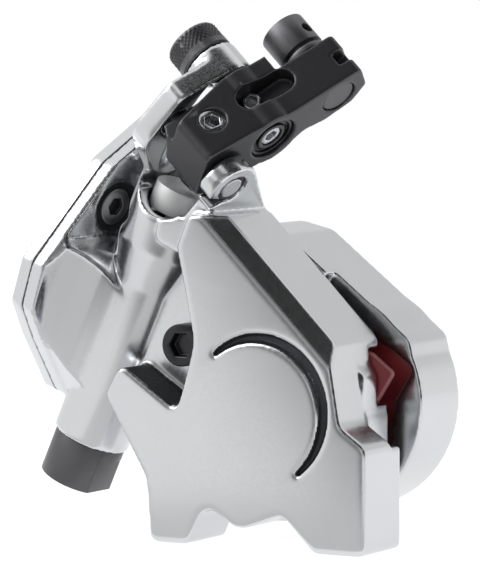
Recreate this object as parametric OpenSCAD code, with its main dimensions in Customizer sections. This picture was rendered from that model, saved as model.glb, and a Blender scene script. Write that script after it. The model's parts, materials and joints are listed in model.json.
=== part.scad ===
// Cable-actuated hydraulic disc brake caliper, flat mount
// X runs along the two feet, Y along the rotor axis (inboard positive), Z up from the mounting face

/* [Mount] */
// Distance between the two mounting bolts
bolt_spacing = 34; // [32:0.5:36]
// Tap drill diameter of the mounting holes
mount_hole_d = 4.2; // [3.4:0.1:5]
// Depth of the mounting holes
mount_hole_depth = 12; // [8:1:14]
// Depth of the feet along the rotor axis
foot_depth = 13.5; // [12:0.5:15]

/* [Halves] */
// Thickness of the outboard half
outboard_t = 18.7; // [18:0.1:20]
// Thickness of the inboard half, with its land
inboard_t = 18; // [17:0.5:21]
// Width of the rotor slot
slot_w = 3.3; // [2.8:0.1:4]
// Radius of the piston drum of both halves
drum_r = 20.3; // [18:0.1:21]
// Sum of X and Z along the sloped top
top_sum = 50.7; // [49:0.1:52]
// Width of the front chamfer across the thickness
chamfer_y = 3.2; // [1:0.1:5]
// Depth of the front chamfer below the sloped top
chamfer_n = 2.6; // [1:0.1:4]
// Depth of the open pocket beside the cylinder
pocket_depth = 9; // [7:0.5:10]

/* [Pistons and pads] */
// Piston centre along the feet
piston_x = 1.2; // [0:0.1:3]
// Piston centre above the mounting face
piston_z = 24.1; // [23:0.1:26]
// Diameter of the piston bores
bore_d = 22; // [20:0.1:23]
// Wall behind each piston
bore_wall = 3.2; // [2:0.1:4]
// Thickness of the pad backing plates
plate_t = 1.7; // [1.2:0.1:2]
// Thickness of the pad linings
lining_t = 2; // [1:0.1:2.2]
// Rotor thickness
rotor_t = 1.8; // [1.5:0.1:2]
// Gap between a lining and the rotor
pad_gap = 0.5; // [0.3:0.05:0.6]
// Diameter of the pad retaining pin
pad_pin_d = 3.2; // [2.5:0.1:3.6]

/* [Master cylinder] */
// Lean of the cylinder from the vertical
lean = 24; // [20:0.5:26]
// Outer radius of the cylinder
cyl_r = 7; // [6.5:0.1:7.5]
// Length of the cylinder
cyl_len = 50; // [46:1:52]
// Diameter of the master bore
master_d = 10; // [9:0.1:10.5]
// Radius of the collar round the push rod head
collar_r = 8.6; // [8:0.1:9]

/* [Reservoir] */
// Thickness of the reservoir wall
reservoir_t = 3; // [2.5:0.1:4]
// Thickness of the reservoir cover
cover_t = 2.4; // [1.5:0.1:3]
// Depth of the reservoir recess
recess_t = 1.8; // [1:0.1:2]

/* [Arm] */
// Width of the actuating arm
arm_w = 12.5; // [11:0.1:12.5]
// Thickness of the near clevis ear
ear_t = 3.5; // [3:0.1:4]
// Thickness of the far wall
wall_t = 4.5; // [4:0.1:6]
// Side gap between the arm and each wall
arm_gap = 0.5; // [0.3:0.05:0.8]
// Diameter of the pivot pins
pivot_d = 4.4; // [4:0.1:4.6]
// Distance from the pivot to the lock screw
lock_x = 11.5; // [11:0.1:12.5]
// Distance from the pivot to the cable anchor
anchor_x = 25.6; // [24:0.1:27]
// Diameter of the lock knob
knob_d = 10.2; // [8:0.1:12]
// Length of the lock knob
knob_len = 5.3; // [4:0.1:7]
// Diameter of the cable anchor's cap
cap_d = 8.6; // [8:0.1:9]
// Cable hole diameter
cable_d = 2.2; // [1.8:0.1:2.6]
// Diameter of the cable housing
housing_d = 5.2; // [4.2:0.1:5.4]

/* [Hidden] */
$fn = 64;
fit = 0.05;
slide_gap = 0.3;
y_front = -foot_depth / 2;
y_joint = y_front + outboard_t;
y_slot = y_joint + slot_w;
y_back = y_joint + inboard_t;
y_rotor = y_joint + slot_w / 2;
y_floor = y_front + pocket_depth;
lining_out = y_rotor - rotor_t / 2 - pad_gap;
lining_in = y_rotor + rotor_t / 2 + pad_gap;
plate_out = lining_out - lining_t;
plate_in = lining_in + lining_t;
piston_r = bore_d / 2 - fit;
seal_w = 2;
seal_deep = 1.6;
slot_c = [64, 5];
slot_r = 73;
pin_at = [-1, 41.5];
bolt_d = 5;
bolt_head_d = 7.6;
bolt_head_h = 3;
pocket_bolt = [-18, 34.2];
back_bolt = [-13, 16.5];
port_at = [-20, 24];
port_d = 2.4;
ring_d = 1.5;

pivot_at = [-6, -3, 61.9];
pivot_tilt = 132.4;
pivot_turn = -8.6;
arm_roll = 138.6;
arm_near = -ear_t - arm_gap;
arm_far = arm_near - arm_w;
wall_near = arm_far - arm_gap;
wall_far = wall_near - wall_t;
boss_far = wall_far - 2;
lock_y = -0.9;
anchor_y = -2.1;
boss_r = 5.3;
ear_r = 5.2;
bush_t = 0.55;
anchor_narrow = 9;
anchor_mid = arm_near - anchor_narrow - 4.5;
cable_angle = 222;
stop_at = 26;
stop_len = 9;
set_screw_d = 4.8;
set_tilt = 19.8;
set_z = arm_near - arm_w / 2;
screw_room = 0.35;
pin_near_end = set_z + set_screw_d / 2 + screw_room;
pin_far_end = set_z - set_screw_d / 2 - screw_room;
spring_room = 2.2;
set_tip = [-1.74, -9.24];
set_len = 16.4;

cyl_top = [-20.4, 6, 61.9];
collar_top = -2.6;
head_top = -0.4;
head_t = 4.7;
head_r = 5.6;
counter_r = 6.1;
notch_r = 7;
notch_low = -5.3;
counter_deep = 7.2;
clip_z = -9;
piston_top = clip_z - 0.9;
piston_len = 9;
cup_w = 1.6;
cap_len = 8.4;
spring_wire = 0.9;

reservoir_at = [-33.5, 3, 58];
reservoir_tilt = 107.5;
reservoir_turn = -12.1;
web_at = [5.17, 1.44, 9.82];
web_lean = -4.95;
web_start = -5.2;
web_rise = 6.03;
web_section = [
    [-20, -8.6], [-16, -7.3], [-12.5, -5.6], [-9.6, -3.4], [-7.7, -0.9], [-6.7, 1.9],
    [-3, 4], [3, 0], [5, -12], [-20, -12]];

// Unit vector along v
function unit(v) = v / norm(v);
// First two entries of a corner
function xy(p) = [p[0], p[1]];
// Points of the arc that rounds corner b between a and c
function corner_arc(a, b, c, r, n) =
    let (
        p = unit(a - b),
        q = unit(c - b),
        half = acos(p * q) / 2,
        mid = b + unit(p + q) * r / sin(half),
        s = b + p * r / tan(half) - mid,
        e = b + q * r / tan(half) - mid,
        a0 = atan2(s[1], s[0]),
        turn = atan2(s[0] * e[1] - s[1] * e[0], s * e)
    )
    [for (i = [0:n]) mid + r * [cos(a0 + turn * i / n), sin(a0 + turn * i / n)]];
// Outline with each corner [x, y, radius] rounded
function rounded(pts, n = 5) = [
    for (i = [0:len(pts) - 1])
        let (
            count = len(pts),
            a = xy(pts[(i + count - 1) % count]),
            b = xy(pts[i]),
            c = xy(pts[(i + 1) % count])
        )
        each (pts[i][2] == 0 ? [b] : corner_arc(a, b, c, pts[i][2], n))];
// Corners moved outward from a centre
function grown(pts, mid, by) = [
    for (p = pts)
        let (away = unit(xy(p) - mid))
        [p[0] + by * away[0], p[1] + by * away[1], p[2]]];

foot_x = bolt_spacing / 2;
back_right = 16.8;
front_corners = [
    [-foot_x - 3.7, 0, 1.4], [-foot_x - 4.6, 11, 5], [-30, 25.5, 2], [-27, 31, 1.5],
    [-15.4, 23.2, 1.4], [-11.8, 35.4, 10], [-15.4, 52, 1], [-13, 57.6, 1.5],
    [top_sum - 57.6, 57.6, 1], [14.6, top_sum - 14.6, 2.5], [17, 22, 3], [foot_x + 5, 18.6, 2],
    [foot_x + 5, 0, 1.4], [foot_x - 5, 0, 1], [5.7, 6.2, 2], [-3, 3, 4], [-9.8, 7.4, 2.5],
    [-foot_x + 3.8, 0, 0.8]];
back_corners = [
    [-24, 14, 5], [-36, 24, 3], [-33, 36, 3], [-23, 55, 3], [-13, 57.6, 1.5],
    [top_sum - 57.6, 57.6, 1], [14.6, top_sum - 14.6, 2.5], [back_right, 22, 0],
    [back_right, 10, 3], [-10, 8, 4]];
inboard_corners = [
    [-24, 14, 5], [-25, 40, 5], [-12, 55.5, 4], [-4, 53.6, 3], [19, 35.6, 3], [21, 26, 4], [10, 10, 4]];
shoulder_corners = [[-11, 49, 0], [-16, 50.4, 1.5], [-22, 53, 2], [-18, 62, 2], [-11, 60, 1]];
pad_mid = [4, 25];
pad_corners = [
    [15.1, 33.4, 1], [19.3, 30.2, 1], [15.8, 24.8, 1], [14, 17, 1.5], [10, 12.5, 2], [-7, 12.5, 2],
    [-10, 18, 1.5], [-10.5, 30, 2], [-5, 35.5, 1], [-3.6, 36.4, 0.5], [-3.6, 44.2, 1.5],
    [1.6, 44.2, 1.5], [1.6, 36.8, 0.5], [10, 36, 1.5]];
lining_corners = [
    [13, 31.6, 1], [15.5, 29.8, 1], [12.6, 24.5, 1], [11.4, 17.4, 1.5], [8.5, 14.5, 1.5],
    [-5.5, 14.5, 1.5], [-8, 19, 1.5], [-8.3, 29, 1.5], [-4, 33.6, 1.5], [9, 34, 1.5]];
reservoir_mid = [0, -10];
reservoir_corners = [
    [-15.6, -18.8, 2], [-15.2, -10.5, 3], [-3.1, 7.4, 6], [8.2, 16, 2], [13, 16, 3], [13, -28, 4],
    [4, -36.3, 4], [-1.6, -36.3, 3], [-10.8, -25.5, 4]];
arm_corners = [
    [-1.4, 7.4, 1.5], [8, 5.8, 4], [17, 3.4, 6], [26, 2.6, 4], [31, 2.2, 1.2], [31.4, -3.8, 1],
    [28, -6.4, 2], [22, -6.4, 3], [17.5, -5, 3], [11.5, -6.9, 4], [5, -5, 3], [1.6, -5.4, 1],
    [-1.2, -5.2, 1], [-5.6, -1.4, 1.2]];
nose_corners = [[-6.6, -6.4, 0.6], [-3.6, 1.5, 0], [3, 1.5, 0], [1.6, -5.4, 1], [-1.4, -8.2, 0.6]];
nose_d = 7.4;
heel_cut = [
    [-12, arm_far - 1], [-2.7, arm_far - 1], [-2.9, arm_far + 0.6], [-3.9, arm_far + 2.4],
    [-5.8, arm_far + 3.7], [-12, arm_far + 4]];
heel_taper = [
    [-12, arm_far - 1], [10.5, arm_far - 1], [10.5, arm_far - 0.02],
    [-1.4, arm_far + 3.3], [-12, arm_far + 5]];

// Children drawn in the XZ plane, given a thickness from y0 to y1
module slab_y(y0, y1) {
    translate([0, y1, 0]) rotate([90, 0, 0]) linear_extrude(y1 - y0) children();
}
// Round bar along Y from y0 to y1 at [x, z]
module bar_y(at, d, y0, y1) {
    translate([at[0], y0, at[1]]) rotate([-90, 0, 0]) cylinder(d = d, h = y1 - y0);
}
// Frame of the arm: x along the arm, z along the pivot towards the near ear
module arm_frame() {
    translate(pivot_at) rotate([0, pivot_tilt, pivot_turn]) rotate([0, 0, arm_roll]) children();
}
// Round bar along the pivot axis of the arm frame
module arm_bar(x, y, d, z0, z1) {
    translate([x, y, z0]) cylinder(d = d, h = z1 - z0);
}
// Frame of the master cylinder: z up its axis from its top
module cylinder_frame() {
    translate(cyl_top) rotate([0, lean, 0]) children();
}
// Frame of the reservoir wall: z out of its face
module reservoir_frame() {
    translate(reservoir_at) rotate([0, reservoir_tilt, reservoir_turn]) rotate([0, 0, 90]) children();
}
// Cable line from the anchor towards the housing stop, z along the cable
module cable_frame() {
    arm_frame() translate([anchor_x, anchor_y, anchor_mid]) rotate([0, 0, cable_angle])
        rotate([0, 90, 0]) children();
}
// Ring with a square section round the z axis
module square_ring(r0, r1, h) {
    rotate_extrude() translate([r0, 0]) square([r1 - r0, h]);
}
// Helical wire with straight ends, as one tube
module coil(r, wire, pitch, turns, sides = 6, rings = 8) {
    steps = rings * turns;
    path = [for (i = [0:steps]) [r * cos(360 * i / rings), r * sin(360 * i / rings), pitch * i / rings]];
    rise = atan2(pitch, 2 * PI * r);
    points = [
        for (i = [0:steps], s = [0:sides - 1])
            let (
                a = 360 * i / rings,
                out = [cos(a), sin(a), 0],
                up = [sin(a) * sin(rise), -cos(a) * sin(rise), cos(rise)]
            )
            path[i] + wire / 2 * (cos(360 * s / sides) * out + sin(360 * s / sides) * up)];
    walls = [
        for (i = [0:steps - 1], s = [0:sides - 1])
            let (
                a = i * sides + s,
                b = i * sides + (s + 1) % sides
            )
            each [[a, a + sides, b], [b, a + sides, b + sides]]];
    caps = [
        for (s = [1:sides - 2])
            each [[0, s, s + 1], [steps * sides, steps * sides + s + 1, steps * sides + s]]];
    polyhedron(points, concat(walls, caps));
    echo(coil_gap = pitch * cos(rise) - wire);
}

module bolt_bores() {
    for (x = [-foot_x, foot_x])
        translate([x, 0, -1]) cylinder(d = mount_hole_d, h = mount_hole_depth + 1);
}
module pad_pocket() {
    slab_y(plate_out - plate_t - slide_gap, plate_in + plate_t + slide_gap)
        union() {
            polygon(rounded(grown(pad_corners, pad_mid, 0.5)));
            translate([pin_at[0] - 3, 35.5]) square([6, 9.4]);
        }
}
module half_holes() {
    bar_y(pocket_bolt, bolt_d + 2 * fit, y_floor - 1, y_back - 4);
    bar_y(back_bolt, bolt_d + 2 * fit, y_floor + 2, y_back + 1);
    bar_y(port_at, port_d, y_floor + 2, y_back - 5);
    bar_y(pin_at, pad_pin_d + 2 * fit, y_floor, y_back + 1);
}
module front_chamfer() {
    translate([top_sum / 2, y_front, top_sum / 2]) rotate([0, 45, 0]) rotate([90, 0, 90])
        translate([0, 0, -60]) linear_extrude(120)
            polygon([[-1, 1], [chamfer_y + 1, 1], [chamfer_y, 0], [0, -chamfer_n], [-1, -chamfer_n]]);
}
module crescent_groove() {
    translate([piston_x, y_front - 1, piston_z]) rotate([-90, 0, 0]) difference() {
        cylinder(r = 13.3, h = 2.4);
        translate([-1, 0.8, -1]) cylinder(r = 12.6, h = 5);
    }
}
module ears() {
    arm_frame() {
        translate([0, 0, -ear_t]) linear_extrude(ear_t) {
            circle(r = ear_r);
            translate([-ear_r, -17]) square([2 * ear_r, 17]);
        }
        translate([0, 0, wall_far]) linear_extrude(wall_t)
            polygon(rounded([[-7.2, -0.4, 4.5], [2, 6, 3], [lock_x, 4.4, 3], [lock_x + 5, 0, 3],
                [lock_x, -6.2, 3], [5.5, -8, 3], [7, -19, 2], [4.5, -24, 1],
                [-3, -19.5, 2], [-7.6, -18, 2.5]]));
        arm_bar(lock_x, lock_y, 2 * boss_r, boss_far, wall_near);
    }
}
// Room between the ears that the arm swings in, above the cylinder's top
module arm_clearance() {
    intersection() {
        arm_frame() translate([-18, -18, wall_near]) cube([46, 52, arm_w + 2 * arm_gap]);
        union() {
            cylinder_frame() translate([-60, -60, collar_top]) cube([120, 120, 80]);
            cylinder_frame() translate([0, 0, notch_low + notch_r]) rotate([90, 0, 0])
                cylinder(r = notch_r, h = 16);
        }
    }
}
module cylinder_casting() {
    cylinder_frame() {
        translate([0, 0, -cyl_len]) cylinder(r = cyl_r, h = cyl_len);
        translate([0, 0, -12]) cylinder(r = collar_r, h = 12);
        translate([0, 0, -19]) cylinder(r1 = cyl_r, r2 = collar_r, h = 7.01);
        translate([0, 6, 0]) rotate([90, 0, 0]) linear_extrude(4.4)
            polygon([[0, -2], [-11.4, -2], [-6.4, 1 - cyl_len], [0, 1 - cyl_len]]);
    }
    cable_frame() translate([0, 0, stop_at]) cylinder(d = housing_d + 3.4, h = stop_len);
    reservoir_frame() intersection() {
        translate(web_at) rotate([0, 0, web_lean]) rotate([web_rise + 90, 0, 0])
            linear_extrude(cyl_len - 7) polygon(web_section);
        translate([0, 0, -1.5]) linear_extrude(14)
            polygon(rounded(grown(reservoir_corners, reservoir_mid, -0.6)));
        translate([-30, 0, 0]) rotate([90, 0, 90]) linear_extrude(60)
            polygon([[web_start + 1.8, -2], [web_start - 9, 10], [web_start - 9, 14], [-60, 14], [-60, -2]]);
    }
}
module outboard_solid() {
    slab_y(y_front, y_floor + 1) polygon(rounded(front_corners));
    slab_y(y_front, y_front + foot_depth) intersection() {
        polygon(rounded(front_corners));
        translate([-40, -1]) square([80, 19]);
    }
    slab_y(y_floor, y_joint) polygon(rounded(back_corners));
    slab_y(y_floor + 0.6, y_joint) intersection() {
        translate([piston_x, piston_z]) circle(r = drum_r);
        polygon([[-30, 0], [back_right - 0.2, 0], [back_right - 0.2, 30], [top_sum - 51, 50], [-30, 50]]);
    }
    slab_y(y_front + 2.6, y_floor + 1) polygon(rounded(shoulder_corners));
    cylinder_casting();
    ears();
    reservoir_frame() translate([0, 0, -reservoir_t]) linear_extrude(reservoir_t)
        polygon(rounded(reservoir_corners));
}
module outboard_body() {
    color("Silver") difference() {
        outboard_solid();
        front_chamfer();
        crescent_groove();
        bolt_bores();
        half_holes();
        pad_pocket();
        bar_y([piston_x, piston_z], bore_d, y_front + bore_wall, y_joint + 1);
        bar_y([piston_x, piston_z], bore_d + 2 * seal_deep, y_floor + 1, y_floor + 1 + seal_w);
        bar_y(port_at, port_d + 2 * ring_d, y_joint - 1, y_joint + 1);
        arm_clearance();
        arm_frame() {
            arm_bar(0, 0, pivot_d + 4 * fit + 2 * bush_t, wall_far - 1, 1);
            arm_bar(lock_x, lock_y, 4 + 2 * fit, boss_far - 1, wall_near + 1);
        }
        cylinder_frame() {
            translate([0, 0, -cyl_len - 1]) cylinder(d = master_d, h = cyl_len + 20);
            translate([0, 0, -counter_deep]) cylinder(r = counter_r, h = counter_deep + 20);
            translate([0, 0, clip_z]) cylinder(d = master_d + 1.2, h = 0.9);
        }
        cable_frame() {
            translate([0, 0, stop_at - 4]) cylinder(d = cable_d, h = 8);
            translate([0, 0, stop_at + 3]) cylinder(d = housing_d, h = stop_len + 3);
        }
        reservoir_frame() {
            translate([0, 0, -reservoir_t - 1]) linear_extrude(recess_t + 1)
                polygon(rounded(grown(reservoir_corners, reservoir_mid, -3.6)));
            translate([0, 0, -9]) cylinder(d = 4.1, h = 20);
            translate([0, 0, -0.8]) cylinder(d = 9.1, h = 2.4);
        }
    }
}
module inboard_body() {
    color("DarkGray") difference() {
        union() {
            slab_y(y_joint, y_back) polygon(rounded(inboard_corners));
            bar_y([piston_x, piston_z], 2 * drum_r, y_joint, y_back);
        }
        bar_y(slot_c, 2 * slot_r, y_joint - 1, y_slot);
        half_holes();
        pad_pocket();
        bar_y([piston_x, piston_z], bore_d, y_joint - 1, y_back - bore_wall);
        bar_y([piston_x, piston_z], bore_d + 2 * seal_deep, plate_in + plate_t + 2.4,
            plate_in + plate_t + 2.4 + seal_w);
        bar_y(back_bolt, bolt_head_d + 0.4, y_back - bolt_head_h, y_back + 1);
        bar_y(pin_at, pad_pin_d + 2.4, y_back - 2, y_back + 1);
    }
}
// Socket bolt along z with its head below zero
module socket_bolt(d, head_d, head_h, len, hex) {
    difference() {
        union() {
            translate([0, 0, -head_h]) cylinder(d = head_d, h = head_h);
            cylinder(d = d, h = len);
        }
        translate([0, 0, -head_h - 1]) cylinder(d = hex * 2 / sqrt(3), h = head_h * 0.6 + 1, $fn = 6);
    }
}
module body_bolts() {
    color("DimGray") {
        translate([pocket_bolt[0], y_floor, pocket_bolt[1]]) rotate([-90, 0, 0])
            socket_bolt(bolt_d, bolt_head_d, bolt_head_h, y_back - y_floor - 6, 4);
        translate([back_bolt[0], y_back - bolt_head_h, back_bolt[1]]) rotate([90, 0, 0])
            socket_bolt(bolt_d, bolt_head_d, bolt_head_h, y_back - y_floor - 6, 4);
    }
}
module crossover_seal() {
    color("Black") translate([port_at[0], y_joint - 1, port_at[1]]) rotate([-90, 0, 0])
        square_ring(port_d / 2 + 0.2, port_d / 2 + ring_d - fit, 1);
}
module reservoir_cover() {
    color("Gainsboro") reservoir_frame() difference() {
        translate([0, 0, -reservoir_t - cover_t]) linear_extrude(cover_t) polygon(rounded(reservoir_corners));
        translate([0, 0, -9]) cylinder(d = 4.1, h = 20);
        cover_screw_places(2.1, 20);
        translate([0, 0, -reservoir_t - cover_t - 1]) cover_screw_places(4.4, 2.2);
    }
}
module cover_screw_places(d, h) {
    for (p = [[-11.5, -16], [9, -26], [9.6, 12.6]])
        translate([p[0], p[1], -10 + (h < 10 ? 10 : 0)]) cylinder(d = d, h = h);
}
module cover_screws() {
    color("DimGray") reservoir_frame() for (p = [[-11.5, -16], [9, -26], [9.6, 12.6]])
        translate([p[0], p[1], -reservoir_t - cover_t + 1.2]) socket_bolt(2, 4, 1, cover_t - 1.2, 1.5);
}
module reservoir_diaphragm() {
    color("Black") reservoir_frame() difference() {
        translate([0, 0, -reservoir_t]) linear_extrude(0.8)
            polygon(rounded(grown(reservoir_corners, reservoir_mid, -3.8)));
        translate([0, 0, -9]) cylinder(d = 6, h = 20);
    }
}
module reservoir_bolt() {
    color("DimGray") reservoir_frame() translate([0, 0, -0.8]) rotate([180, 0, 0])
        socket_bolt(4, 6.8, 0.7, reservoir_t + cover_t - 1, 3);
}
// Cup piston along Y with its open end towards the pad
module cup_piston(y0, y1, open_at_y1) {
    difference() {
        bar_y([piston_x, piston_z], 2 * piston_r, y0, y1);
        bar_y([piston_x, piston_z], 2 * piston_r - 5, open_at_y1 ? y0 + 2.5 : y0 - 1,
            open_at_y1 ? y1 + 1 : y1 - 2.5);
    }
}
module outboard_piston() {
    color("White") cup_piston(y_front + bore_wall + 1.5, plate_out - plate_t, true);
}
module inboard_piston() {
    color("White") cup_piston(plate_in + plate_t, y_back - bore_wall - 1, false);
}
module piston_seal(y0) {
    translate([piston_x, y0 + fit, piston_z]) rotate([-90, 0, 0])
        square_ring(piston_r + 0.03, bore_d / 2 + seal_deep - fit, seal_w - 2 * fit);
}
module outboard_piston_seal() {
    color("Black") piston_seal(y_floor + 1);
}
module inboard_piston_seal() {
    color("Black") piston_seal(plate_in + plate_t + 2.4);
}
module pad_plate(y0) {
    difference() {
        slab_y(y0, y0 + plate_t) polygon(rounded(pad_corners));
        bar_y(pin_at, pad_pin_d + 0.4, y0 - 1, y0 + plate_t + 1);
    }
}
module outboard_pad_plate() {
    color("Maroon") pad_plate(plate_out - plate_t);
}
module inboard_pad_plate() {
    color("Maroon") pad_plate(plate_in);
}
module outboard_pad_lining() {
    color("SaddleBrown") slab_y(plate_out, lining_out) polygon(rounded(lining_corners));
}
module inboard_pad_lining() {
    color("SaddleBrown") slab_y(lining_in, plate_in) polygon(rounded(lining_corners));
}
module pad_spring() {
    leaf = 0.4;
    y0 = plate_out + 0.5;
    y1 = plate_in - 0.5;
    color("LightSteelBlue") difference() {
        translate([pin_at[0] - 1.9, 0, 0]) rotate([90, 0, 90]) linear_extrude(3.8)
            polygon([[y0, 37.6], [y0, 44], [y1, 44], [y1, 37.6], [y1 - leaf, 37.6],
                [y1 - leaf, 44 - leaf], [y0 + leaf, 44 - leaf], [y0 + leaf, 37.6]]);
        bar_y(pin_at, pad_pin_d + 0.3, y0 - 1, y1 + 1);
    }
}
module pad_pin() {
    color("Silver") difference() {
        union() {
            bar_y(pin_at, pad_pin_d, y_floor + 0.5, y_back - 2);
            bar_y(pin_at, pad_pin_d + 2, y_back - 2, y_back - 0.2);
        }
        bar_y(pin_at, 2.2, y_back - 1.4, y_back + 1);
        translate([pin_at[0], y_rotor - 0.5, pin_at[1]]) rotate([-90, 0, 0])
            square_ring(pad_pin_d / 2 - 0.4, pad_pin_d, 1);
    }
}
module pad_pin_clip() {
    color("DimGray") translate([pin_at[0], y_rotor - 0.35, pin_at[1]]) rotate([-90, 0, 0])
        rotate([0, 0, 60]) rotate_extrude(angle = 300)
            translate([pad_pin_d / 2 - 0.35, 0]) square([0.75, 0.7]);
}
module master_piston() {
    color("Gold") cylinder_frame() translate([0, 0, piston_top - piston_len]) difference() {
        cylinder(d = master_d - 2 * fit, h = piston_len);
        translate([0, 0, piston_len - 2.5]) cylinder(d = 4, h = 4);
        for (z = [1, piston_len - 3])
            translate([0, 0, z]) square_ring(master_d / 2 - 1.8, master_d, cup_w + 0.2);
    }
}
module cup(z) {
    cylinder_frame() translate([0, 0, piston_top - piston_len + z + 0.1])
        square_ring(master_d / 2 - 1.75, master_d / 2 - 0.03, cup_w);
}
module primary_cup() {
    color("Black") cup(1);
}
module secondary_cup() {
    color("Black") cup(piston_len - 3);
}
module master_return_spring() {
    turns = 8;
    low = 4.4 - cyl_len;
    high = piston_top - piston_len;
    color("LightSteelBlue") cylinder_frame() translate([0, 0, low + spring_wire / 2 + 0.3])
        coil(master_d / 2 - 1.2, spring_wire, (high - low - spring_wire - 0.6) / turns, turns);
}
module push_rod() {
    color("Gainsboro") cylinder_frame() {
        translate([0, 0, piston_top - 2.5]) cylinder(d = 3.8, h = head_top - head_t - piston_top + 2.6);
        translate([0, 0, head_top - head_t]) cylinder(r = head_r, h = head_t);
    }
}
module piston_circlip() {
    color("DimGray") cylinder_frame() translate([0, 0, clip_z + 0.05])
        rotate_extrude(angle = 330) translate([2.6, 0]) square([master_d / 2 + 0.55 - 2.6, 0.8]);
}
module cylinder_end_cap() {
    color("DimGray") cylinder_frame() difference() {
        union() {
            translate([0, 0, -cyl_len - cap_len]) cylinder(r = cyl_r - 0.5, h = cap_len);
            translate([0, 0, -cyl_len - 0.1]) cylinder(d = master_d - 2 * fit, h = 4.1);
        }
        translate([0, 0, 2 - cyl_len]) square_ring(master_d / 2 - 1, master_d, 1.2);
        translate([cyl_r - 1.7, -10, -cyl_len - cap_len - 1]) cube([5, 20, cap_len - 1]);
        translate([0, 0, -cyl_len - cap_len - 1]) cylinder(d = 5 * 2 / sqrt(3), h = 4, $fn = 6);
    }
}
module cap_o_ring() {
    color("Black") cylinder_frame() translate([0, 0, 2.05 - cyl_len])
        square_ring(master_d / 2 - 0.95, master_d / 2 - 0.03, 1.1);
}
// Line of the set screw in the arm frame, z from its tip upwards
module set_screw_frame() {
    arm_frame() translate([set_tip[0], set_tip[1], set_z]) rotate([0, 0, -set_tilt]) rotate([-90, 0, 0])
        children();
}
// Boss round the set screw under the arm's heel
module arm_nose() {
    intersection() {
        translate([0, 0, arm_far + 0.5]) linear_extrude(arm_w - 1) polygon(rounded(nose_corners));
        translate([set_tip[0], set_tip[1], set_z]) rotate([0, 0, -set_tilt]) rotate([-90, 0, 0])
            cylinder(d = nose_d, h = 14);
    }
}
module actuating_arm() {
    color("Black") difference() {
        arm_frame() difference() {
            union() {
                difference() {
                    translate([0, 0, arm_far]) linear_extrude(arm_w) polygon(rounded(arm_corners));
                    translate([0, 20, 0]) rotate([90, 0, 0]) linear_extrude(40) polygon(heel_cut);
                    translate([0, 20, 0]) rotate([90, 0, 0]) linear_extrude(17) polygon(heel_taper);
                }
                arm_nose();
                arm_bar(lock_x, lock_y, 12.2, arm_far, arm_near);
            }
            translate([19, -20, arm_far - 1]) cube([30, 40, arm_w - anchor_narrow + 1]);
            arm_bar(0, 0, pivot_d + 2 * 0.02, arm_far - 1, arm_near + 1);
            arm_bar(0, 0, pivot_d + spring_room, pin_near_end, arm_near + 1);
            arm_bar(lock_x, lock_y, 9.1, arm_near - 5, arm_near + 1);
            arm_bar(lock_x, lock_y, 4.4, arm_far - 1, arm_far + 3);
            arm_bar(anchor_x, anchor_y, 5.1, arm_far - 1, arm_near + 1);
            arm_bar(anchor_x, anchor_y, 6.8, arm_near - 1.2, arm_near + 1);
            for (x = [11.8, 18.4])
                translate([x, -0.4, -10.6]) rotate([-90, 0, 0]) cylinder(d = 4.6, h = 20);
            translate([11.8, -0.4, -12.9]) cube([6.6, 20, 4.6]);
            translate([28.4, -1, arm_near - 5.6]) cube([10, 10, 2.6]);
            translate([12.4, -3.8, -11.4]) rotate([-90, 0, 0]) cylinder(d = 3.4, h = 10);
        }
        set_screw_frame() translate([0, 0, -6]) cylinder(d = set_screw_d + 0.1, h = 40);
    }
}
module stroke_set_screw() {
    color("Silver") set_screw_frame() difference() {
        union() {
            sphere(d = set_screw_d);
            cylinder(d = set_screw_d, h = set_len);
        }
        translate([0, 0, set_len - 2.5]) cylinder(d = 2.5 * 2 / sqrt(3), h = 5, $fn = 6);
    }
}
module travel_screw() {
    color("Silver") arm_frame() translate([12.4, -3.7, -11.4]) rotate([-90, 0, 0]) difference() {
        cylinder(d = 3.2, h = 5.2);
        translate([0, 0, 3.6]) cylinder(d = 2 * 2 / sqrt(3), h = 5, $fn = 6);
    }
}
module lock_bush() {
    color("Gray") arm_frame() translate([lock_x, lock_y, arm_near - 5]) difference() {
        cylinder(d = 9, h = 4.4);
        translate([0, 0, -1]) cylinder(d = 4.1, h = 8);
        translate([0, 0, 3.8]) square_ring(2.9, 3.8, 2);
    }
}
module lock_bush_screw() {
    color("Silver") arm_frame() translate([lock_x, lock_y, arm_near - 5]) difference() {
        cylinder(d = 4, h = 4.2);
        translate([0, 0, 2.4]) cylinder(d = 2 * 2 / sqrt(3), h = 5, $fn = 6);
    }
}
module arm_pivot_pins() {
    color("Gainsboro") arm_frame() {
        arm_bar(0, 0, pivot_d, pin_near_end, -0.3);
        arm_bar(0, 0, pivot_d, wall_far + 0.3, pin_far_end);
    }
}
module pivot_bushes() {
    color("DimGray") arm_frame() {
        translate([0, 0, 0.1 - ear_t])
            square_ring(pivot_d / 2 + fit, pivot_d / 2 + fit + bush_t, ear_t - 0.6);
        translate([0, 0, wall_far + 0.3])
            square_ring(pivot_d / 2 + fit, pivot_d / 2 + fit + bush_t, wall_t - 0.4);
    }
}
module arm_return_spring() {
    color("LightSteelBlue") arm_frame() translate([0, 0, pin_near_end + 0.35])
        coil(pivot_d / 2 + 0.7, 0.6, 1.05, 2);
}
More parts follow.
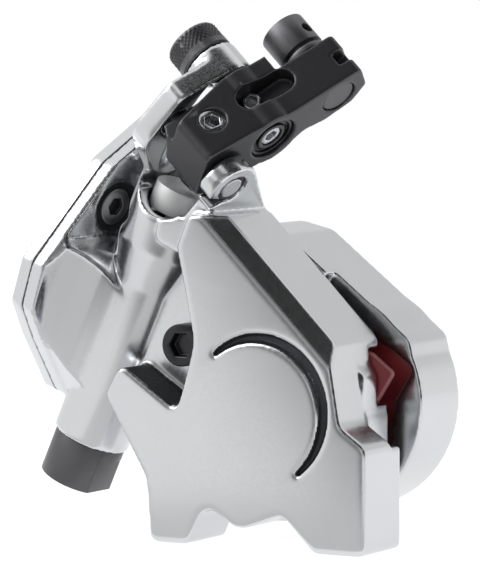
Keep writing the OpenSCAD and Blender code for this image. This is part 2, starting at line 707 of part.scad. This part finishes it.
module cable_anchor() {
    color("DimGray") difference() {
        arm_frame() {
            arm_bar(anchor_x, anchor_y, cap_d, anchor_mid - 3.5, anchor_mid + 2.4);
            arm_bar(anchor_x, anchor_y, cap_d - 2, anchor_mid + 2.3, anchor_mid + 3.4);
            arm_bar(anchor_x, anchor_y, cap_d, anchor_mid + 3.3, anchor_mid + 4.3);
            arm_bar(anchor_x, anchor_y, 5, anchor_mid + 4.2, arm_near - 1.2);
        }
        cable_frame() translate([0, 0, -20]) cylinder(d = cable_d, h = 40);
        arm_frame() arm_bar(anchor_x, anchor_y, 3.3, anchor_mid - 5, anchor_mid - 1);
    }
}
module anchor_head() {
    color("Gray") arm_frame() arm_bar(anchor_x, anchor_y, 6.6, arm_near - 1.2, arm_near - 0.3);
}
module pinch_screw() {
    color("Silver") arm_frame() translate([anchor_x, anchor_y, anchor_mid - 3.3]) difference() {
        cylinder(d = 3.2, h = 2.1);
        translate([0, 0, -1]) cylinder(d = 2 * 2 / sqrt(3), h = 2.2, $fn = 6);
    }
}
module lock_screw() {
    color("Silver") arm_frame() arm_bar(lock_x, lock_y, 4, boss_far - knob_len + 1, wall_near - 0.1);
}
module lock_knob() {
    color("Black") arm_frame() difference() {
        arm_bar(lock_x, lock_y, knob_d, boss_far - 0.3 - knob_len, boss_far - 0.3);
        arm_bar(lock_x, lock_y, 4 + 2 * fit, boss_far - knob_len + 0.9, boss_far + 1);
    }
}

outboard_body();
inboard_body();
body_bolts();
crossover_seal();
reservoir_cover();
reservoir_diaphragm();
reservoir_bolt();
cover_screws();
outboard_piston();
inboard_piston();
outboard_piston_seal();
inboard_piston_seal();
outboard_pad_plate();
outboard_pad_lining();
inboard_pad_plate();
inboard_pad_lining();
pad_spring();
pad_pin();
pad_pin_clip();
master_piston();
primary_cup();
secondary_cup();
master_return_spring();
push_rod();
piston_circlip();
cylinder_end_cap();
cap_o_ring();
actuating_arm();
stroke_set_screw();
travel_screw();
lock_bush();
lock_bush_screw();
arm_pivot_pins();
pivot_bushes();
arm_return_spring();
cable_anchor();
anchor_head();
pinch_screw();
lock_screw();
lock_knob();
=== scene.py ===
import json
import math
import bmesh
import bpy
from mathutils import Matrix, Vector


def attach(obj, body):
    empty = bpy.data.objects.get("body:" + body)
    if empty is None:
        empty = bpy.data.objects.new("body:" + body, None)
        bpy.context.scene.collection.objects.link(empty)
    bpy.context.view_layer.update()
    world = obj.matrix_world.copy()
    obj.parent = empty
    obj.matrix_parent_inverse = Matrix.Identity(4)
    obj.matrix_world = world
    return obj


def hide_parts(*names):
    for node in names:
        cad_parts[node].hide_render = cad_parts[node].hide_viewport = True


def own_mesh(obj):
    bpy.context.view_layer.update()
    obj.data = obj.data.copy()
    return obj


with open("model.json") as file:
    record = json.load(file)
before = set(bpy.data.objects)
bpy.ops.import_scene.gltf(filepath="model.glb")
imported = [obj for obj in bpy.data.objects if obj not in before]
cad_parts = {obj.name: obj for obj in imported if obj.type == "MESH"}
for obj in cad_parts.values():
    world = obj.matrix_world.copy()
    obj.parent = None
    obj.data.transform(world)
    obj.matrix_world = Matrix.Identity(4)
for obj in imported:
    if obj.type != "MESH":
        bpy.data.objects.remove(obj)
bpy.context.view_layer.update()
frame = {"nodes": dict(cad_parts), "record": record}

bl_info = {
    "name": "Disc Brake Caliper",
    "version": (1, 0, 0),
    "blender": (4, 5, 0),
    "location": "View3D > Sidebar > Caliper",
    "description": "Dresses the flat-mount disc brake caliper",
    "category": "Object",
}

MM = 0.001
BODY_OF = {node: body for body, nodes in frame["record"]["behaviour"]["bodies"].items() for node in nodes}
SLOT_OF = {s["node"]: s["material_slot"] for s in frame["record"]["subparts"]}
JOINTS = {j["name"]: j for j in frame["record"]["behaviour"]["joints"]}

# Finishes: the broad faint shading's size, the useful range of the grain's noise, and how edges are painted paler,
# partly wear to bare metal and partly painted highlight glints
CLOUD_MM = 14
NOISE_RANGE = (0.3, 0.7)
BUMP_STRENGTH = 0.6
COAT_ROUGHNESS = 0.12
WEAR_AND_GLINT_COLOUR = "#A9A9AA"
WEAR_AND_GLINT_POINTINESS = (0.51, 0.6)

# Reservoir bolt: where its axis meets the wall's face in mm, and the axis's turns about Y and Z in degrees
BOLT_AT_MM = (-33.5, 3, 58)
BOLT_TILT, BOLT_TURN = 107.5, -12.1
# Radius of its counterbore and the counterbore's depths from the wall's face, which bound painted shade, and the
# radius round its socket
WELL_R, WELL_DEPTHS = 4.8, (-1.0, -0.15)
# Inside this radius the socket keeps its black as painted shade
SOCKET_R = 1.9

# Front face: its y, and the crescent groove's and the pocket's limits in mm, with depths from the face; within
# these limits shade is painted
FRONT_Y = -6.75
GROOVE_AT, GROOVE_RING, GROOVE_DEPTHS = (1.2, 24.1), (11.6, 13.8), (0.3, 1.8)
POCKET_X, POCKET_Z, POCKET_DEPTHS = (-27, -12.5), (22, 54), (0.7, 8.6)
POCKET_WALL_SLOPE = 0.5

# Share of the grid's faces that the near casting keeps, the arm's grid and smoothing passes, and the fewest faces
# that a rounded casting can have if its grid worked
NEAR_SHARE = 0.48
ARM_VOXEL, ARM_ROUNDS = 0.2 * MM, 16
FEWEST_FACES = 100

# Lock knob, in mm: its gap to the boss, its profile as radius and height, the knurled band and a diamond's height
KNOB_GAP = 0.3
KNOB_PROFILE = (
    [(2.1, 0.0), (4.7, 0.0), (5.1, 0.35), (5.1, 1.5), (4.95, 1.6)]
    + [(5.1, 1.7 + 0.25 * i) for i in range(13)]
    + [(4.75, 5.2), (3.4, 5.3), (3.1, 5.05), (0.0, 5.05)])
KNURL_BAND, KNURL_DIAMOND = (1.69, 4.71), 0.95

# Width of the bevel on each fitting's edges, in mm
FITTINGS = (
    ("body_bolts", 0.3), ("reservoir_bolt", 0.25), ("cover_screws", 0.12), ("stroke_set_screw", 0.2),
    ("travel_screw", 0.15), ("lock_bush", 0.2), ("lock_bush_screw", 0.2), ("arm_pivot_pins", 0.3),
    ("pivot_bushes", 0.12), ("anchor_head", 0.3), ("cable_anchor", 0.4), ("pinch_screw", 0.15),
    ("cylinder_end_cap", 1.1), ("push_rod", 0.25), ("lock_screw", 0.2), ("reservoir_cover", 0.5),
    ("pad_pin", 0.2))
PADS = (
    ("outboard_pad_plate", 0.3), ("inboard_pad_plate", 0.3), ("outboard_pad_lining", 0.25),
    ("inboard_pad_lining", 0.25))

# The photograph's view: target in mm, azimuth and elevation in degrees, distance in m, lens and sensor in mm
VIEW_AT_MM = (-9.2, 5.0, 44.8)
VIEW_AZIMUTH, VIEW_ELEVATION = 30, 4
VIEW_DISTANCE, VIEW_LENS, VIEW_SENSOR = 0.7, 251.4, 36
# Lamps: place from the target and size in m, power in W, and whether reflections show them
LAMPS = (
    ("Key", (-0.45, -0.35, 0.5), (0.35, 0.5), 2.6, True),
    ("Fill", (0.1, -0.8, 0.3), (0.5, 0.4), 1.2, False),
    ("Rim", (0.3, 0.5, 0.6), (0.4, 0.4), 1.4, False))
# Cards: centre in mm, the way they face, size in mm and four tones. The first also has the share of its width over
# which the tones change and a turn in degrees
CARDS = (
    ("Front card", (-50, -85, 32), (0.35, 0.61, 0.7), (190, 170), (0.3, 1.05, 0.16, 0.98), (0.36, 0.58), -25),
    ("Apron card", (-20, -46, 0.2), (0, 0, 1), (150, 74), (0.7, 0.8, 0.7, 0.8)),
    ("Brow card", (45, -245, 195), (-0.15, 0.8, -0.5), (300, 200), (0.5, 0.5, 0.05, 0.05)),
    ("Camera card", (500, -800, 180), (-0.53, 0.84, -0.14), (600, 700), (0.42, 0.42, 0.5, 0.5)),
    ("Right card", (390, -40, 70), (-1, 0.1, 0), (360, 600), (0.03, 0.02, 0.02, 0.02)),
    ("Top card", (155, -80, 375), (-0.43, 0.23, -0.87), (340, 300), (0.03, 0.03, 0.02, 0.02)),
    ("Flank card", (420, -330, 120), (-0.78, 0.6, -0.1), (300, 500), (0.07, 0.05, 0.05, 0.05)),
    # A small glowing card set in a gap of the body near the reservoir bolt, giving a nearby face a painted
    # reflection, light where it would mirror dark neighbours
    ("Gap card", (-29.4, 5.8, 58.7), (-0.933, 0.2, 0.301), (10, 20), (0.75, 0.75, 0.45, 0.45)),
    ("Back card", (20, 440, 295), (-0.07, -0.86, -0.5), (700, 360), (0.8, 0.8, 0.75, 0.75)))
# Floor: half its side and its height in m, its glow and its grey, then the light from the rest of the room
FLOOR_HALF, FLOOR_Z = 4, -0.0004
FLOOR_GLOW, FLOOR_GREY = 0.86, 0.35
SKY_COLOUR, SKY_STRENGTH = (0.9, 0.92, 0.95, 1), 0.45


def linear(code):
    """Linear colour of an sRGB hex code."""
    parts = [int(code[i:i + 2], 16) / 255 for i in (1, 3, 5)]
    return tuple(c / 12.92 if c <= 0.04045 else ((c + 0.055) / 1.055) ** 2.4 for c in parts)


class CaliperLooks(bpy.types.PropertyGroup):
    cast_colour: bpy.props.FloatVectorProperty(
        name="Casting", description="Colour of the polished aluminium", subtype="COLOR",
        default=linear("#CFD1D3"))
    arm_colour: bpy.props.FloatVectorProperty(
        name="Arm", description="Colour of the black anodised pieces", subtype="COLOR",
        default=linear("#434346"))
    plate_colour: bpy.props.FloatVectorProperty(
        name="Pad plates", description="Colour of the painted pad plates", subtype="COLOR",
        default=linear("#6E1B20"))
    cast_voxel: bpy.props.FloatProperty(
        name="Casting grid", description="Cell size used to round the castings", default=0.34 * MM,
        min=0.3 * MM, max=1 * MM, unit="LENGTH", precision=5)
    cast_rounds: bpy.props.IntProperty(
        name="Casting rounding", description="Smoothing passes on the castings", default=14, min=0, max=40)
    knurl_rows: bpy.props.IntProperty(
        name="Knurl rows", description="Diamonds round the lock knob", default=34, min=12, max=60)
    knurl_depth: bpy.props.FloatProperty(
        name="Knurl depth", description="Depth of the knurl's grooves", default=0.28 * MM, unit="LENGTH",
        precision=5)


def within(value, span):
    """Whether a value lies between a span's ends."""
    return span[0] < value < span[1]


def add_node(tree, kind, links=(), **settings):
    """Adds one node, with its settings and the sockets that feed its inputs."""
    node = tree.nodes.new(kind)
    for key, value in settings.items():
        if key in node.inputs:
            node.inputs[key].default_value = value
        else:
            setattr(node, key, value)
    for key, socket in links:
        tree.links.new(socket, node.inputs[key])
    return node


def add_range(tree, socket, source, target):
    """Adds a node that maps one range of a value to another."""
    node = add_node(tree, "ShaderNodeMapRange", [("Value", socket)])
    for key, value in zip(("From Min", "From Max", "To Min", "To Max"), (*source, *target)):
        node.inputs[key].default_value = value
    return node.outputs["Result"]


def finish(name, colour, metallic, rough, grain_mm, bump_mm, shade=0.08, coat=0.0, wear_and_glint=0.0):
    """Procedural surface: fine grain in roughness and bump, broad faint shading, and edges painted paler for wear
    and for highlight glints.
    """
    mat = bpy.data.materials.get(name)
    if mat:
        return mat
    mat = bpy.data.materials.new(name)
    mat.use_nodes = True
    tree = mat.node_tree
    shader = tree.nodes["Principled BSDF"]
    shader.inputs["Metallic"].default_value = metallic
    if coat:
        shader.inputs["Coat Weight"].default_value = coat
        shader.inputs["Coat Roughness"].default_value = COAT_ROUGHNESS
    where = add_node(tree, "ShaderNodeTexCoord").outputs["Object"]
    grain = add_node(tree, "ShaderNodeTexNoise", [("Vector", where)], Scale=1 / (grain_mm * MM), Detail=4.0)
    cloud = add_node(tree, "ShaderNodeTexNoise", [("Vector", where)], Scale=1 / (CLOUD_MM * MM), Detail=2.0)
    # The Mix node's colour sockets share their names with its other kinds, so they go by number
    tint = add_node(tree, "ShaderNodeMix", [("Factor", cloud.outputs["Fac"])], data_type="RGBA")
    tint.inputs[6].default_value = tuple(c * (1 - shade) for c in colour) + (1,)
    tint.inputs[7].default_value = tuple(min(1, c * (1 + shade)) for c in colour) + (1,)
    base = tint.outputs[2]
    # Edges painted paler by pointiness: partly wear to bare metal, partly painted highlight glints
    if wear_and_glint:
        edge = add_node(tree, "ShaderNodeNewGeometry").outputs["Pointiness"]
        rim = add_range(tree, edge, WEAR_AND_GLINT_POINTINESS, (0.0, wear_and_glint))
        pale = add_node(tree, "ShaderNodeMix", [("Factor", rim), (6, base)], data_type="RGBA")
        pale.inputs[7].default_value = linear(WEAR_AND_GLINT_COLOUR) + (1,)
        base = pale.outputs[2]
    bump = add_node(tree, "ShaderNodeBump", [("Height", grain.outputs["Fac"])], Distance=bump_mm * MM,
                    Strength=BUMP_STRENGTH)
    tree.links.new(base, shader.inputs["Base Color"])
    tree.links.new(add_range(tree, grain.outputs["Fac"], NOISE_RANGE, rough), shader.inputs["Roughness"])
    tree.links.new(bump.outputs["Normal"], shader.inputs["Normal"])
    return mat


def slot_material(slot):
    """The finish for one of the record's material slots."""
    looks = bpy.context.scene.caliper_looks
    if slot == "cast":
        # Cast aluminium, ground and polished: soft bright reflections with a faint satin blur
        return finish("Polished cast aluminium", tuple(looks.cast_colour), 1.0, (0.19, 0.27), 0.5, 0.0004,
                      shade=0.04)
    if slot == "dark_anodised":
        # Forged aluminium, black anodised: dark satin with edges painted paler, partly wear to bare metal and
        # partly painted highlight glints
        return finish("Black anodised aluminium", tuple(looks.arm_colour), 0.85, (0.32, 0.44), 0.25, 0.006,
                      shade=0.1, wear_and_glint=0.35)
    if slot == "black_steel":
        # Steel with black oxide: slightly warm near-black, oily sheen
        return finish("Black oxide steel", linear("#3A3A3C"), 0.9, (0.24, 0.36), 0.2, 0.004)
    if slot == "steel":
        # Zinc plated steel: bright with fine turning haze
        return finish("Zinc plated steel", linear("#B9BABD"), 1.0, (0.18, 0.3), 0.15, 0.004)
    if slot == "spring_steel":
        # Drawn spring wire: bluish bright steel
        return finish("Drawn spring wire", linear("#A5A9AE"), 1.0, (0.2, 0.3), 0.2, 0.003)
    if slot == "pad_paint":
        # Steel plate with a thick maroon paint: soft gloss and slight orange peel
        return finish("Maroon painted steel", tuple(looks.plate_colour), 0.0, (0.3, 0.42), 0.4, 0.02,
                      shade=0.12, coat=0.3)
    if slot == "friction":
        # Pressed friction compound: dull brown-black with coarse specks
        return finish("Pressed friction compound", linear("#3B302B"), 0.0, (0.75, 0.95), 0.35, 0.05, shade=0.35)
    if slot == "resin":
        # Moulded phenolic resin: warm white, faintly glossy
        return finish("Moulded phenolic resin", linear("#D9D2C2"), 0.0, (0.35, 0.5), 0.4, 0.01)
    if slot == "brass":
        # Turned brass: yellow metal with fine lathe haze
        return finish("Turned brass", linear("#B8954D"), 1.0, (0.2, 0.3), 0.2, 0.003)
    # Moulded rubber: matte black with a slight bloom
    return finish("Moulded rubber", linear("#1B1B1C"), 0.0, (0.6, 0.8), 0.4, 0.01, shade=0.2)


def merged_copy(node):
    """A bmesh of a CAD node with its triangles joined and flat faces made whole."""
    bm = bmesh.new()
    bm.from_mesh(frame["nodes"][node].data)
    bmesh.ops.remove_doubles(bm, verts=bm.verts, dist=2e-6)
    bmesh.ops.dissolve_limit(bm, angle_limit=math.radians(0.5), verts=bm.verts, edges=bm.edges)
    return bm


def mesh_of(bm, name):
    """A new mesh from a bmesh, which is freed."""
    mesh = bpy.data.meshes.new(name)
    bm.to_mesh(mesh)
    bm.free()
    return mesh


def adopt(mesh, name, node):
    """Links a mesh as a piece that stands for a CAD node, with its finish and body."""
    obj = bpy.data.objects.new(name, mesh)
    bpy.context.scene.collection.objects.link(obj)
    mesh.materials.clear()
    mesh.materials.append(slot_material(SLOT_OF[node]))
    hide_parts(node)
    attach(obj, BODY_OF[node])
    return obj


def place(bm, name, node, angle):
    """Makes a piece of a bmesh, smooth but for edges over the angle, standing for a CAD node."""
    obj = adopt(mesh_of(bm, name), name, node)
    obj.data.shade_smooth()
    obj.data.set_sharp_from_angle(angle=math.radians(angle))
    return obj


def from_bolt_axis(point):
    """Distances in mm from the reservoir bolt's axis, and along it from the wall's face."""
    tilt = Matrix.Rotation(math.radians(BOLT_TILT), 3, "Y")
    axis = Matrix.Rotation(math.radians(BOLT_TURN), 3, "Z") @ tilt @ Vector((0, 0, 1))
    offset = point / MM - Vector(BOLT_AT_MM)
    along = offset.dot(axis)
    return (offset - axis * along).length, along


def rounded_casting(node, voxel, rounds, share=0.6):
    """A casting whose edges are rounded by a fine grid and smoothing."""
    obj = bpy.data.objects.new(node + "_grid", mesh_of(merged_copy(node), node + "_grid"))
    bpy.context.scene.collection.objects.link(obj)
    grid = obj.modifiers.new("grid", "REMESH")
    grid.mode = "VOXEL"
    grid.voxel_size = voxel
    soft = obj.modifiers.new("soft", "SMOOTH")
    soft.factor = 0.5
    soft.iterations = rounds
    thin = obj.modifiers.new("thin", "DECIMATE")
    thin.ratio = share
    bpy.context.view_layer.update()
    done = bpy.data.meshes.new_from_object(obj.evaluated_get(bpy.context.evaluated_depsgraph_get()))
    bpy.data.objects.remove(obj)
    if len(done.polygons) < FEWEST_FACES:
        raise RuntimeError(node + " lost its grid")
    piece = adopt(done, node + "_casting", node)
    done.shade_smooth()
    return piece


def bevelled(node, width_mm, angle=35, segments=2):
    """A CAD node with its edges broken by a small bevel."""
    bm = merged_copy(node)
    edges = [e for e in bm.edges if len(e.link_faces) == 2 and e.calc_face_angle(0) > math.radians(angle)]
    bmesh.ops.bevel(bm, geom=edges, offset=width_mm * MM, offset_type="OFFSET", affect="EDGES",
                    segments=segments, profile=0.5, material=-1, clamp_overlap=True)
    bmesh.ops.recalc_face_normals(bm, faces=bm.faces)
    return place(bm, node + "_edged", node, angle=28)


class CALIPER_OT_castings(bpy.types.Operator):
    """Both halves of the body, with rounded and polished edges"""
    bl_idname = "caliper.castings"
    bl_label = "Castings"

    def paint_recess_shade(self, mesh):
        """Paints shade on the groove, the pocket's walls and the bolt's counterbore with a dark, dull second
        finish.
        """
        # Painted shade: a dark grey standing for the recesses' shadow and dark reflections, dull and slightly
        # pitted
        mesh.materials.append(finish("Cast aluminium with painted recess shade", linear("#45474A"), 0.9, (0.45, 0.6), 0.6, 0.02,
                                     shade=0.15))
        for face in mesh.polygons:
            x, y, z = face.center / MM
            depth = y - FRONT_Y
            ring = math.hypot(x - GROOVE_AT[0], z - GROOVE_AT[1])
            across, along = from_bolt_axis(face.center)
            in_groove = within(ring, GROOVE_RING) and within(depth, GROOVE_DEPTHS)
            in_pocket = (within(x, POCKET_X) and within(z, POCKET_Z) and within(depth, POCKET_DEPTHS)
                         and abs(face.normal.y) < POCKET_WALL_SLOPE)
            in_well = across < WELL_R and within(along, WELL_DEPTHS)
            # Faces in these recesses take the painted shade
            if in_groove or in_pocket or in_well:
                face.material_index = 1

    def execute(self, context):
        looks = context.scene.caliper_looks
        near_half = rounded_casting("outboard_body", looks.cast_voxel, looks.cast_rounds, share=NEAR_SHARE)
        self.paint_recess_shade(near_half.data)
        rounded_casting("inboard_body", looks.cast_voxel, looks.cast_rounds)
        return {"FINISHED"}


class CALIPER_OT_arm(bpy.types.Operator):
    """The actuating arm, forged with soft edges"""
    bl_idname = "caliper.arm"
    bl_label = "Arm"

    def execute(self, context):
        rounded_casting("actuating_arm", ARM_VOXEL, ARM_ROUNDS)
        return {"FINISHED"}


class CALIPER_OT_knob(bpy.types.Operator):
    """The lock knob with its cut diamond knurl"""
    bl_idname = "caliper.knob"
    bl_label = "Lock knob"

    def execute(self, context):
        looks = context.scene.caliper_looks
        joint = JOINTS["knob_turn"]
        axis = Vector(joint["axis"]).normalized()
        bm = bmesh.new()
        verts = [bm.verts.new((across * MM, 0, (KNOB_GAP + up) * MM)) for across, up in KNOB_PROFILE]
        edges = [bm.edges.new(pair) for pair in zip(verts, verts[1:])]
        bmesh.ops.spin(bm, geom=verts + edges, cent=(0, 0, 0), axis=(0, 0, 1), angle=2 * math.pi,
                       steps=looks.knurl_rows * 4, use_merge=True)
        bmesh.ops.remove_doubles(bm, verts=bm.verts, dist=1e-7)
        for v in bm.verts:
            up = v.co.z / MM - KNOB_GAP
            if within(up, KNURL_BAND):
                turn = math.atan2(v.co.y, v.co.x) * looks.knurl_rows / (2 * math.pi)
                rise = up / KNURL_DIAMOND
                left = abs(((turn + rise) % 1) - 0.5) * 2
                right = abs(((turn - rise) % 1) - 0.5) * 2
                out = Vector((v.co.x, v.co.y, 0)).normalized()
                v.co -= out * looks.knurl_depth * (1 - min(left, right))
        bmesh.ops.recalc_face_normals(bm, faces=bm.faces)
        stand = axis.to_track_quat("Z", "Y").to_matrix().to_4x4()
        bmesh.ops.transform(bm, matrix=Matrix.Translation(Vector(joint["pos_m"])) @ stand, verts=bm.verts)
        place(bm, "lock_knob_knurled", "lock_knob", angle=40)
        return {"FINISHED"}


class CALIPER_OT_hardware(bpy.types.Operator):
    """Screws, pins, bushes and caps with broken edges"""
    bl_idname = "caliper.hardware"
    bl_label = "Hardware"

    def grey_head_painted_socket_shade(self, mesh):
        """A turned grey head round a socket that keeps its black oxide, whose black there stands as painted shade.
        """
        # Stainless steel, turned: grey satin
        mesh.materials.append(finish("Turned stainless steel", linear("#9C9C9E"), 1.0, (0.36, 0.46), 0.2, 0.003))
        for face in mesh.polygons:
            # The socket's faces keep the black oxide as painted shade; the rest turns grey
            if max(from_bolt_axis(mesh.vertices[i].co)[0] for i in face.vertices) > SOCKET_R:
                face.material_index = 1

    def execute(self, context):
        for node, width in FITTINGS:
            mesh = bevelled(node, width).data
            if node == "push_rod":
                # Steel blasted to a pale even satin
                mesh.materials[0] = finish("Blasted steel", linear("#C6C7C7"), 0.9, (0.5, 0.62), 0.2, 0.004)
            if node == "cable_anchor":
                # Steel with a thin grey oxide: darker than plating, paler than the bolts
                mesh.materials[0] = finish("Grey oxide steel", linear("#67676A"), 0.9, (0.34, 0.46), 0.2, 0.004)
            if node == "reservoir_bolt":
                self.grey_head_painted_socket_shade(mesh)
        return {"FINISHED"}


class CALIPER_OT_pads(bpy.types.Operator):
    """Painted pad plates and their linings"""
    bl_idname = "caliper.pads"
    bl_label = "Pads"

    def execute(self, context):
        for node, width in PADS:
            bevelled(node, width)
        return {"FINISHED"}


class CALIPER_OT_spring(bpy.types.Operator):
    """The master cylinder's return spring at one length, in a mesh of its own; the real one shortens as the piston
    comes down
    """
    bl_idname = "caliper.spring"
    bl_label = "Return spring"

    def execute(self, context):
        node = "master_return_spring"
        obj = place(merged_copy(node), node + "_wound", node, angle=50)
        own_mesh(obj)
        return {"FINISHED"}


class CALIPER_OT_inner(bpy.types.Operator):
    """Finishes for the CAD nodes, of which those inside keep their own shape"""
    bl_idname = "caliper.inner"
    bl_label = "Inner pieces"

    def execute(self, context):
        for node, obj in frame["nodes"].items():
            mat = slot_material(SLOT_OF[node])
            if not obj.material_slots:
                obj.data.materials.append(mat)
            for slot in obj.material_slots:
                slot.material = mat
        return {"FINISHED"}


class CALIPER_OT_stage(bpy.types.Operator):
    """White floor and background, soft lamps, cards for the reflections and the camera"""
    bl_idname = "caliper.stage"
    bl_label = "Stage"

    def camera(self, scene, target):
        """The photograph's camera."""
        az, el = math.radians(VIEW_AZIMUTH), math.radians(VIEW_ELEVATION)
        back = Vector((math.sin(az) * math.cos(el), -math.cos(az) * math.cos(el), math.sin(el)))
        cam = bpy.data.objects.new("Camera", bpy.data.cameras.new("Camera"))
        cam.data.lens = VIEW_LENS
        cam.data.sensor_width = VIEW_SENSOR
        cam.data.clip_start = 0.01
        cam.location = target + back * VIEW_DISTANCE
        cam.rotation_euler = back.to_track_quat("Z", "Y").to_euler()
        scene.collection.objects.link(cam)
        scene.camera = cam

    def lamp(self, scene, target, name, where, size, power, mirrored):
        """A soft rectangular lamp that faces the target."""
        data = bpy.data.lights.new(name, "AREA")
        data.shape = "RECTANGLE"
        data.size, data.size_y = size
        data.energy = power
        obj = bpy.data.objects.new(name, data)
        obj.location = target + Vector(where)
        obj.rotation_euler = Vector(where).to_track_quat("Z", "Y").to_euler()
        obj.visible_glossy = mirrored
        scene.collection.objects.link(obj)

    def card(self, scene, name, centre, facing, size, tones, span=(0.0, 1.0), roll=0):
        """A panel that only reflections see, shaded from its right side to its left, bottom then top."""
        bm = bmesh.new()
        bmesh.ops.create_grid(bm, x_segments=40, y_segments=6, size=0.5)
        tone = bm.verts.layers.float_color.new("tone")
        for v in bm.verts:
            u = min(1, max(0, (v.co.x + 0.5 - span[0]) / (span[1] - span[0])))
            u, w = u * u * (3 - 2 * u), v.co.y + 0.5
            low = tones[0] * (1 - u) + tones[1] * u
            high = tones[2] * (1 - u) + tones[3] * u
            v[tone] = [low * (1 - w) + high * w] * 3 + [1]
        bmesh.ops.scale(bm, vec=(size[0] * MM, size[1] * MM, 1), verts=bm.verts)
        turn = Vector(facing).to_track_quat("Z", "Y").to_matrix().to_4x4()
        spin = Matrix.Rotation(math.radians(roll), 4, "Z")
        bmesh.ops.transform(bm, matrix=Matrix.Translation(Vector(centre) * MM) @ turn @ spin, verts=bm.verts)
        mesh = mesh_of(bm, name)
        mat = bpy.data.materials.new(name + " paper")
        mat.use_nodes = True
        tree = mat.node_tree
        tree.nodes.clear()
        tint = add_node(tree, "ShaderNodeAttribute", attribute_name="tone")
        glow = add_node(tree, "ShaderNodeEmission", [("Color", tint.outputs["Color"])], Strength=1.0)
        add_node(tree, "ShaderNodeOutputMaterial", [("Surface", glow.outputs[0])])
        mesh.materials.append(mat)
        obj = bpy.data.objects.new(name, mesh)
        obj.visible_camera = False
        obj.visible_diffuse = False
        obj.visible_shadow = False
        scene.collection.objects.link(obj)

    def floor(self, scene):
        """A sweep of white paper that glows enough to look white."""
        bm = bmesh.new()
        bmesh.ops.create_grid(bm, x_segments=1, y_segments=1, size=FLOOR_HALF)
        mesh = mesh_of(bm, "Floor")
        obj = bpy.data.objects.new("Floor", mesh)
        obj.location = (0, 0, FLOOR_Z)
        mat = bpy.data.materials.new("White paper sweep")
        mat.use_nodes = True
        tree = mat.node_tree
        tree.nodes.clear()
        glow = add_node(tree, "ShaderNodeEmission", Strength=FLOOR_GLOW)
        matte = add_node(tree, "ShaderNodeBsdfDiffuse", Color=(FLOOR_GREY, FLOOR_GREY, FLOOR_GREY, 1))
        both = add_node(tree, "ShaderNodeAddShader", [(0, glow.outputs[0]), (1, matte.outputs[0])])
        add_node(tree, "ShaderNodeOutputMaterial", [("Surface", both.outputs[0])])
        mesh.materials.append(mat)
        scene.collection.objects.link(obj)

    def sky(self, scene):
        """White where the camera or a reflection looks, and a dimmer cool light for the rest."""
        world = bpy.data.worlds.new("Studio")
        scene.world = world
        world.use_nodes = True
        tree = world.node_tree
        tree.nodes.clear()
        rays = add_node(tree, "ShaderNodeLightPath").outputs
        first = add_node(tree, "ShaderNodeMath", [(0, rays["Is Camera Ray"]), (1, rays["Is Glossy Ray"])],
                         operation="MAXIMUM")
        seen = add_node(tree, "ShaderNodeMath", [(0, first.outputs[0]), (1, rays["Is Transmission Ray"])],
                        operation="MAXIMUM")
        soft = add_node(tree, "ShaderNodeBackground", Color=SKY_COLOUR, Strength=SKY_STRENGTH)
        white = add_node(tree, "ShaderNodeBackground", Color=(1, 1, 1, 1), Strength=1.0)
        mix = add_node(tree, "ShaderNodeMixShader",
                       [(0, seen.outputs[0]), (1, soft.outputs[0]), (2, white.outputs[0])])
        add_node(tree, "ShaderNodeOutputWorld", [("Surface", mix.outputs[0])])

    def execute(self, context):
        scene = context.scene
        scene.view_settings.view_transform = "Standard"
        target = Vector(VIEW_AT_MM) * MM
        self.camera(scene, target)
        for lamp in LAMPS:
            self.lamp(scene, target, *lamp)
        for card in CARDS:
            self.card(scene, *card)
        self.floor(scene)
        self.sky(scene)
        return {"FINISHED"}


OPERATORS = (CALIPER_OT_castings, CALIPER_OT_arm, CALIPER_OT_knob, CALIPER_OT_hardware, CALIPER_OT_pads,
             CALIPER_OT_spring, CALIPER_OT_inner, CALIPER_OT_stage)


class CALIPER_PT_sidebar(bpy.types.Panel):
    """Sizes, colours and steps of the caliper"""
    bl_idname = "CALIPER_PT_sidebar"
    bl_label = "Caliper"
    bl_space_type = "VIEW_3D"
    bl_region_type = "UI"
    bl_category = "Caliper"

    def draw(self, context):
        looks = context.scene.caliper_looks
        for name in ("cast_colour", "arm_colour", "plate_colour", "cast_voxel", "cast_rounds", "knurl_rows",
                     "knurl_depth"):
            self.layout.prop(looks, name)
        for op in OPERATORS:
            self.layout.operator(op.bl_idname)


CLASSES = (CaliperLooks,) + OPERATORS + (CALIPER_PT_sidebar,)


def register():
    for cls in CLASSES:
        bpy.utils.register_class(cls)
    bpy.types.Scene.caliper_looks = bpy.props.PointerProperty(type=CaliperLooks)


def unregister():
    del bpy.types.Scene.caliper_looks
    for cls in reversed(CLASSES):
        bpy.utils.unregister_class(cls)


def main():
    register()
    bpy.ops.caliper.stage()
    bpy.ops.caliper.inner()
    bpy.ops.caliper.castings()
    bpy.ops.caliper.arm()
    bpy.ops.caliper.knob()
    bpy.ops.caliper.hardware()
    bpy.ops.caliper.pads()
    bpy.ops.caliper.spring()


if __name__ == "__main__":
    main()
